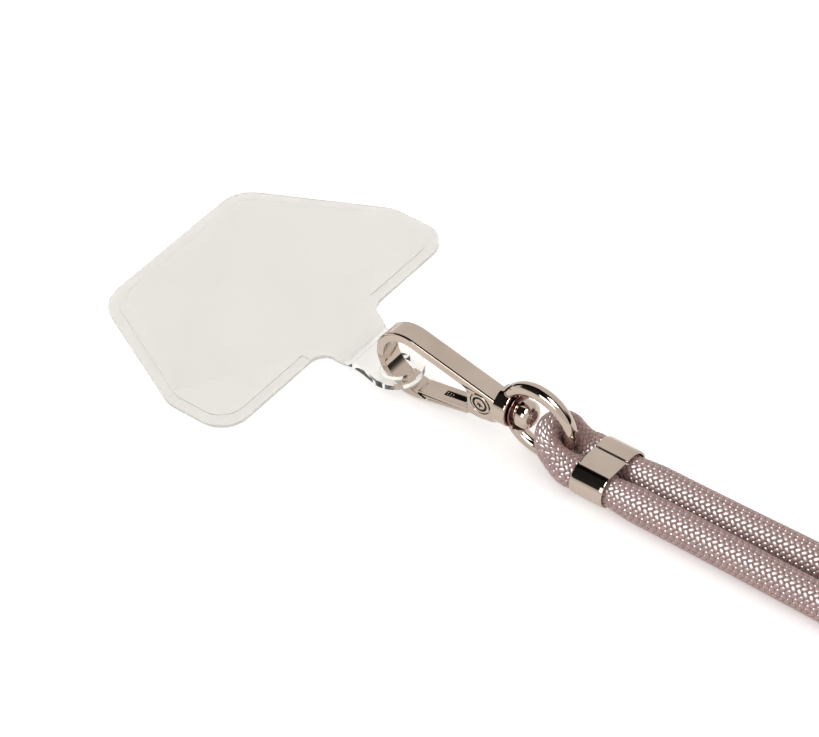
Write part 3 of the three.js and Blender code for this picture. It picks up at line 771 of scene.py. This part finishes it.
def axial_cylinder(name, radius, start, end, vertices=96):
    """A cylinder about the swivel's axis, between two places measured from the ring's centre."""
    deselect()
    middle = SWIVEL + Vector(((start + end) / 2, 0, 0))
    bpy.ops.mesh.primitive_cylinder_add(vertices=vertices, radius=radius, depth=end - start,
                                        location=middle, rotation=(0, pi / 2, 0))
    piece = bpy.context.object
    piece.name = name
    return place_applied(piece)


deselect()
bpy.ops.mesh.primitive_torus_add(major_segments=128, minor_segments=40, major_radius=RING_RADIUS,
                                 minor_radius=RING_WIRE, location=SWIVEL, rotation=(pi / 2, 0, 0))
ring = place_applied(bpy.context.object)
ring.name = "ring_and_boss"
boss = axial_cylinder("boss", BOSS_RADIUS, BOSS_FRONT - MM, BOSS_SEAT)
finish_rims(boss, BOSS_RIM, segments=6)
combine(ring, boss, "UNION")
combine(ring, axial_cylinder("front_cut", 2 * BOSS_RADIUS, BOSS_FRONT - 2 * MM, BOSS_FRONT), "DIFFERENCE")
combine(ring, axial_cylinder("recess_cut", RECESS_RADIUS, BOSS_SEAT, 0), "DIFFERENCE")
combine(ring, axial_cylinder("bore_cut", POST_RADIUS + PLAY, BOSS_FRONT - MM, BOSS_SEAT + MM), "DIFFERENCE")
finish_rims(ring, RING_RIM, segments=2, angle=34)
ring.data.materials.append(CAST_NICKEL)
ring.data.materials.append(RECESS_PAINTED_SHADE)
for face in ring.data.polygons:
    place = face.center - SWIVEL
    deep = BOSS_SEAT - SEAT_SLACK < place.x < 0
    face.material_index = int(deep and Vector((place.y, place.z)).length < RECESS_RADIUS + WALL_SLACK)
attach(ring, "strap")
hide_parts("swivel_ring")
print("ring faces:", len(ring.data.polygons))

# %% [markdown]
# The post was turned on a lathe: a shaft, a collar that stops it in the recess, a narrower neck and a
# button with a rounded crown. A disc is extruded along the axis and its new rim is drawn in or out at
# each step, which follows the turner's own moves from one end to the other. Shaft and collar lie in the
# recess's shade and get the same painted shade and painted rope reflection.

# %% The swivel post
POST_START = -10.0 * MM
COLLAR = BOSS_SEAT + PLAY
COLLAR_RADIUS = 3.4 * MM
NECK = COLLAR + 0.4 * MM
NECK_RADIUS = 2.0 * MM
HEAD = NECK + 0.9 * MM
HEAD_RADIUS = 2.9 * MM
CROWN = HEAD + 1.3 * MM
CROWN_RISE = 2.0 * MM
CROWN_STEP = 9
POST_RIM = 0.22 * MM
COLLAR_SLACK = 0.1 * MM


def turned_piece(name, profile, vertices=80):
    """A closed piece about the swivel's axis, from (place along the axis, radius) pairs."""
    deselect()
    (start, radius), steps = profile[0], profile[1:]
    bpy.ops.mesh.primitive_circle_add(vertices=vertices, radius=radius, fill_type="NGON",
                                      location=SWIVEL + Vector((start, 0, 0)), rotation=(0, pi / 2, 0))
    piece = place_applied(bpy.context.object)
    piece.name = name
    bpy.ops.object.mode_set(mode="EDIT")
    bpy.ops.mesh.select_all(action="SELECT")
    bpy.ops.mesh.extrude_region_move()
    for place, next_radius in steps:
        if place != start:
            bpy.ops.transform.translate(value=(place - start, 0, 0))
        if next_radius != radius:
            share = next_radius / radius
            bpy.ops.transform.resize(value=(1, share, share), center_override=SWIVEL)
        start, radius = place, next_radius
        if (place, next_radius) != steps[-1]:
            bpy.ops.mesh.extrude_region_move()
    bpy.ops.mesh.select_all(action="SELECT")
    bpy.ops.mesh.normals_make_consistent(inside=False)
    bpy.ops.object.mode_set(mode="OBJECT")
    return piece


crown_angles = np.radians(np.arange(CROWN_STEP, 90, CROWN_STEP))
crown = [(CROWN + CROWN_RISE * sin(t), HEAD_RADIUS * cos(t)) for t in crown_angles]
post = turned_piece("post_and_head", [
    (POST_START, POST_RADIUS), (COLLAR, POST_RADIUS), (COLLAR, COLLAR_RADIUS), (NECK, COLLAR_RADIUS),
    (NECK, NECK_RADIUS), (HEAD, NECK_RADIUS), (HEAD, HEAD_RADIUS), (CROWN, HEAD_RADIUS), *crown,
])
finish_rims(post, POST_RIM, segments=3, angle=50)
post.data.materials.append(CAST_NICKEL)
post.data.materials.append(RECESS_PAINTED_SHADE)
for face in post.data.polygons:
    face.material_index = int(face.center.x < SWIVEL.x + NECK + COLLAR_SLACK)
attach(post, "hook")
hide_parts("swivel_post")
print("post faces:", len(post.data.polygons))

# %% [markdown]
# The ferrule is a short oblong tube of sheet metal, pressed round both strands so that its open seam
# shows on top. It could be bent from a strip, but its round sides come out truer when a circle is extruded
# to a tube and pulled apart sideways. Its two ends are squeezed a little, as the crimping tool leaves them.

# %% The ferrule's oblong tube
ferrule_low, ferrule_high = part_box("ferrule")
ferrule_middle = (ferrule_low + ferrule_high) / 2
FERRULE_HALF_HEIGHT = (ferrule_high.z - ferrule_low.z) / 2
FERRULE_HALF_PITCH = (ferrule_high.y - ferrule_low.y) / 2 - FERRULE_HALF_HEIGHT
FERRULE_LENGTH = ferrule_high.x - ferrule_low.x
FERRULE_RINGS = 24
FERRULE_STEP = FERRULE_LENGTH / FERRULE_RINGS
CRIMP_RUN = 0.9 * MM
CRIMP_DEPTH = 0.15 * MM
MIDDLE_LINE = 0.001 * MM

deselect()
bpy.ops.mesh.primitive_circle_add(vertices=96, radius=FERRULE_HALF_HEIGHT, rotation=(0, pi / 2, 0))
ferrule = place_applied(bpy.context.object)
ferrule.name = "ferrule_tube"
bpy.ops.object.mode_set(mode="EDIT")
bpy.ops.mesh.select_all(action="SELECT")
bpy.ops.transform.translate(value=(-FERRULE_LENGTH / 2, 0, 0))
for _ in range(FERRULE_RINGS):
    bpy.ops.mesh.extrude_region_move(TRANSFORM_OT_translate={"value": (FERRULE_STEP, 0, 0)})
bpy.ops.mesh.select_all(action="SELECT")
bpy.ops.mesh.normals_make_consistent(inside=False)
bpy.ops.object.mode_set(mode="OBJECT")
for vertex in ferrule.data.vertices:
    from_end = FERRULE_LENGTH / 2 - abs(vertex.co.x)
    squeeze = 1 - CRIMP_DEPTH / FERRULE_HALF_HEIGHT * max(0, 1 - from_end / CRIMP_RUN) ** 2
    side = 0 if abs(vertex.co.y) < MIDDLE_LINE else np.sign(vertex.co.y)
    shift = side * FERRULE_HALF_PITCH
    vertex.co = (vertex.co.x, vertex.co.y * squeeze + shift, vertex.co.z * squeeze)
ferrule.data.transform(Matrix.Translation(ferrule_middle))
print("ferrule length:", round(FERRULE_LENGTH / MM, 1), "mm")

# %% [markdown]
# Solidify gives the sheet its thickness, a thin box cuts the seam, and a Bevel rounds the rims. The far
# sleeve is a plain rounded copy of the frame's own.

# %% The ferrule's sheet and seam, and the far sleeve
SHEET = 0.5 * MM
SEAM_SIDE = 1.35 * MM
SEAM_WIDTH = 0.26 * MM
FERRULE_RIM = 0.2 * MM
SLEEVE_RIM = 0.25 * MM

active(ferrule)
sheet = ferrule.modifiers.new("sheet", "SOLIDIFY")
sheet.thickness = SHEET
sheet.offset = -1
bpy.ops.object.modifier_apply(modifier=sheet.name)
deselect()
seam_place = (ferrule_middle.x, ferrule_middle.y + SEAM_SIDE, ferrule_high.z)
bpy.ops.mesh.primitive_cube_add(size=1, location=seam_place)
seam = bpy.context.object
seam.scale = (FERRULE_LENGTH * 1.2, SEAM_WIDTH, 3 * SHEET)
place_applied(seam)
combine(ferrule, seam, "DIFFERENCE")
finish_rims(ferrule, FERRULE_RIM, segments=3, angle=34)
ferrule.data.materials.append(PRESSED_NICKEL)
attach(ferrule, "strap")
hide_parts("ferrule")
sleeve = rounded_copy("joining_sleeve", "far_sleeve", "strap", SLEEVE_RIM, PRESSED_NICKEL)
print("ferrule faces:", len(ferrule.data.polygons))

# %% [markdown]
# The pad is a sheet of clear soft plastic, a little milky, so that on a white table only its edges and
# its raised field show. Its tab is thicker and clearer. So the plastic has three finishes, which differ
# in colour, in how much light goes through and in how smooth they are; the darker one is painted shade.

# %% The pad's clear plastic


def clear_film(name, colour, transmission, roughness):
    material, shader, nodes, links = new_material(name)
    place = nodes.new("ShaderNodeTexCoord")
    cloud = nodes.new("ShaderNodeTexNoise")
    cloud.inputs["Scale"].default_value = 45
    cloud.inputs["Detail"].default_value = 3
    links.new(place.outputs["Object"], cloud.inputs["Vector"])
    darker = tuple(0.985 * c for c in colour)
    tone = ramp(nodes, [(0.35, darker), (0.7, colour)])
    links.new(cloud.outputs["Fac"], tone.inputs["Fac"])
    links.new(tone.outputs["Color"], shader.inputs["Base Color"])
    bump = nodes.new("ShaderNodeBump")
    bump.inputs["Strength"].default_value = 0.1
    bump.inputs["Distance"].default_value = 0.3 * MM
    links.new(cloud.outputs["Fac"], bump.inputs["Height"])
    links.new(bump.outputs["Normal"], shader.inputs["Normal"])
    shader.inputs["Roughness"].default_value = roughness
    shader.inputs["IOR"].default_value = 1.45
    shader.inputs["Transmission Weight"].default_value = transmission
    return material


milky = clear_film("milky_sheet", (0.985, 0.97, 0.945), 0.72, 0.2)
# Darker: painted shade for the dark lines that the clear plastic's edges show.
edge_shade = clear_film("edge_painted_shade", (0.84, 0.82, 0.79), 0.5, 0.3)
clear = clear_film("clear_tab", (0.975, 0.965, 0.94), 1.0, 0.04)
print("plastics:", [m.name for m in (milky, edge_shade, clear)])

# %% [markdown]
# A rounded copy of the frame's pad carries the three finishes: the milky sheet, a darker painted shade on
# the sloping faces of its rims and steps, and the clear tab. The field's face is also inset along its rim.

# %% The tether pad
PAD_RIM = 0.18 * MM
FIELD_INSET = 0.4 * MM
TAB_CREASE = 29.5 * MM
LEVEL = 0.99
SLOPING = 0.9

pad = rounded_copy("phone_pad", "pad_and_tab", "hook", PAD_RIM, milky, segments=2, angle=30)
pad.data.materials.append(edge_shade)
pad.data.materials.append(clear)
active(pad)
bpy.ops.object.mode_set(mode="EDIT")
editable = bmesh.from_edit_mesh(pad.data)
bpy.ops.mesh.select_all(action="DESELECT")
field = max(editable.faces, key=lambda face: face.calc_area() if face.normal.z > LEVEL else 0)
field.select = True
bmesh.update_edit_mesh(pad.data)
bpy.ops.mesh.inset(thickness=FIELD_INSET)
bpy.ops.object.mode_set(mode="OBJECT")
for face in pad.data.polygons:
    if face.center.x > TAB_CREASE:
        face.material_index = 2
    elif abs(face.normal.z) < SLOPING:
        face.material_index = 1
print("pad faces:", len(pad.data.polygons))

# %% [markdown]
# The stage is a plain white floor, so wide that no edge of it shows, and a hair's breadth under the strap
# so that the two surfaces never meet.

# %% The floor
FLOOR_WIDTH = 6
FLOOR_GAP = 0.2 * MM

deselect()
bpy.ops.mesh.primitive_plane_add(size=FLOOR_WIDTH, location=(0, 0, -FLOOR_GAP))
floor = bpy.context.object
floor.name = "studio_floor"
paper, paper_shader, _, _ = new_material("white_paper")
paper_shader.inputs["Base Color"].default_value = (0.95, 0.95, 0.95, 1)
paper_shader.inputs["Roughness"].default_value = 0.9
paper_shader.inputs["Emission Color"].default_value = (1, 1, 1, 1)
paper_shader.inputs["Emission Strength"].default_value = 0.3
floor.data.materials.append(paper)
print("floor:", FLOOR_WIDTH, "m wide")

# %% [markdown]
# An even white surround stands round the strap, as in a light tent. What the polished metal mirrors
# matters most: three round dark cards, each with a direction, a half angle and a soft edge in degrees,
# draw the dark lines along its rims, and a dark gap between two sides of the tent draws its middle lines.
# Cards could be real planes, but painted on the sky they throw no shadow and are quick to move.

# %% The light tent's dark cards
DARK_CARDS = [((-0.42, -0.45, 0.79), 41, 4), ((0.2, -0.45, 0.87), 26, 4), ((0.86, 0.36, 0.12), 18, 13)]
DARK_GAP = (-0.12, 0.22)
GAP_OUTER = 0.05
GAP_INNER = 0.02
DARKEST = 0.02

world = bpy.data.worlds.new("light_tent")
bpy.context.scene.world = world
world.use_nodes = True
tent, tent_links = world.node_tree.nodes, world.node_tree.links
direction = tent.new("ShaderNodeTexCoord")


def fall(value, bright, dark):
    """One at the bright value, nearly nothing at the dark one, and smooth between them."""
    edge = tent.new("ShaderNodeMapRange")
    edge.interpolation_type = "SMOOTHSTEP"
    edge.inputs["From Min"].default_value = bright
    edge.inputs["From Max"].default_value = dark
    edge.inputs["To Min"].default_value = 1
    edge.inputs["To Max"].default_value = DARKEST
    tent_links.new(value, edge.inputs["Value"])
    return edge.outputs["Result"]


def combined(first, second, operation):
    """The result of one sum on two nodes' values."""
    node = tent.new("ShaderNodeMath")
    node.operation = operation
    tent_links.new(first, node.inputs[0])
    tent_links.new(second, node.inputs[1])
    return node.outputs["Value"]


light = None
for towards, half_angle, softness in DARK_CARDS:
    facing = tent.new("ShaderNodeVectorMath")
    facing.operation = "DOT_PRODUCT"
    facing.inputs[1].default_value = Vector(towards).normalized()
    tent_links.new(direction.outputs["Generated"], facing.inputs[0])
    share = fall(facing.outputs["Value"], cos(radians(half_angle + softness)),
                 cos(radians(half_angle - softness)))
    light = combined(light, share, "MULTIPLY") if light else share
parts = tent.new("ShaderNodeSeparateXYZ")
tent_links.new(direction.outputs["Generated"], parts.inputs["Vector"])
near_side = fall(parts.outputs["Y"], DARK_GAP[0] - GAP_OUTER, DARK_GAP[0] + GAP_INNER)
far_side = fall(parts.outputs["Y"], DARK_GAP[1] + GAP_OUTER, DARK_GAP[1] - GAP_INNER)
light = combined(light, combined(near_side, far_side, "MAXIMUM"), "MULTIPLY")
print("dark cards:", len(DARK_CARDS), "dark gap:", DARK_GAP)

# %% [markdown]
# The cards must not darken the floor or show through the clear pad. So the sky is plain white for every
# ray but a mirrored one: a glossy ray that hasn't passed through the plastic.

# %% The sky that each ray sees
TENT_WHITE = (1.0, 0.985, 0.965, 1)

tent_colour = tent.new("ShaderNodeMix")
tent_colour.data_type = "RGBA"
tent_colour.inputs[6].default_value = (0.0, 0.0, 0.0, 1)
tent_colour.inputs[7].default_value = TENT_WHITE
tent_links.new(light, tent_colour.inputs["Factor"])
seen_by = tent.new("ShaderNodeLightPath")
tent_even = tent.new("ShaderNodeMix")
tent_even.data_type = "RGBA"
tent_even.inputs[6].default_value = TENT_WHITE
mirrored = tent.new("ShaderNodeMath")
mirrored.operation = "SUBTRACT"
mirrored.use_clamp = True
tent_links.new(seen_by.outputs["Is Glossy Ray"], mirrored.inputs[0])
tent_links.new(seen_by.outputs["Is Transmission Ray"], mirrored.inputs[1])
tent_links.new(mirrored.outputs["Value"], tent_even.inputs["Factor"])
tent_links.new(tent_colour.outputs[2], tent_even.inputs[7])
tent_links.new(tent_even.outputs[2], tent["Background"].inputs["Color"])
print("sky nodes:", len(tent))

# %% [markdown]
# Three soft lamps add the bright glints. Two of them only the metal's sheen sees and one only the rope's,
# and none of them lights anything evenly, so the floor stays free of shadows from them.

# %% The lamps
LAMP_DISTANCE = 0.7


def soft_lamp(name, towards, size, power, lit):
    """An area lamp that looks at the ring from a direction and lights only some pieces' sheen."""
    data = bpy.data.lights.new(name, "AREA")
    data.shape = "RECTANGLE"
    data.size, data.size_y = size
    data.energy = power
    lamp = bpy.data.objects.new(name, data)
    lamp.location = SWIVEL + Vector(towards).normalized() * LAMP_DISTANCE
    lamp.rotation_euler = (lamp.location - SWIVEL).to_track_quat("Z", "Y").to_euler()
    lamp.visible_diffuse = False
    bpy.context.scene.collection.objects.link(lamp)
    group = bpy.data.collections.new(name + "_lights")
    for piece in lit:
        group.objects.link(piece)
    lamp.light_linking.receiver_collection = group


metal_pieces = [hook, gate, rivet, ring, post, ferrule, sleeve]
soft_lamp("top_lamp", (0.385, -0.37, 0.85), (0.26, 0.36), 4.5, metal_pieces)
soft_lamp("yarn_lamp", (-0.36, -0.47, 0.80), (0.24, 0.18), 27, rope_pieces)
soft_lamp("side_lamp", (0.0, -0.9, 0.42), (0.4, 0.3), 1.6, metal_pieces)
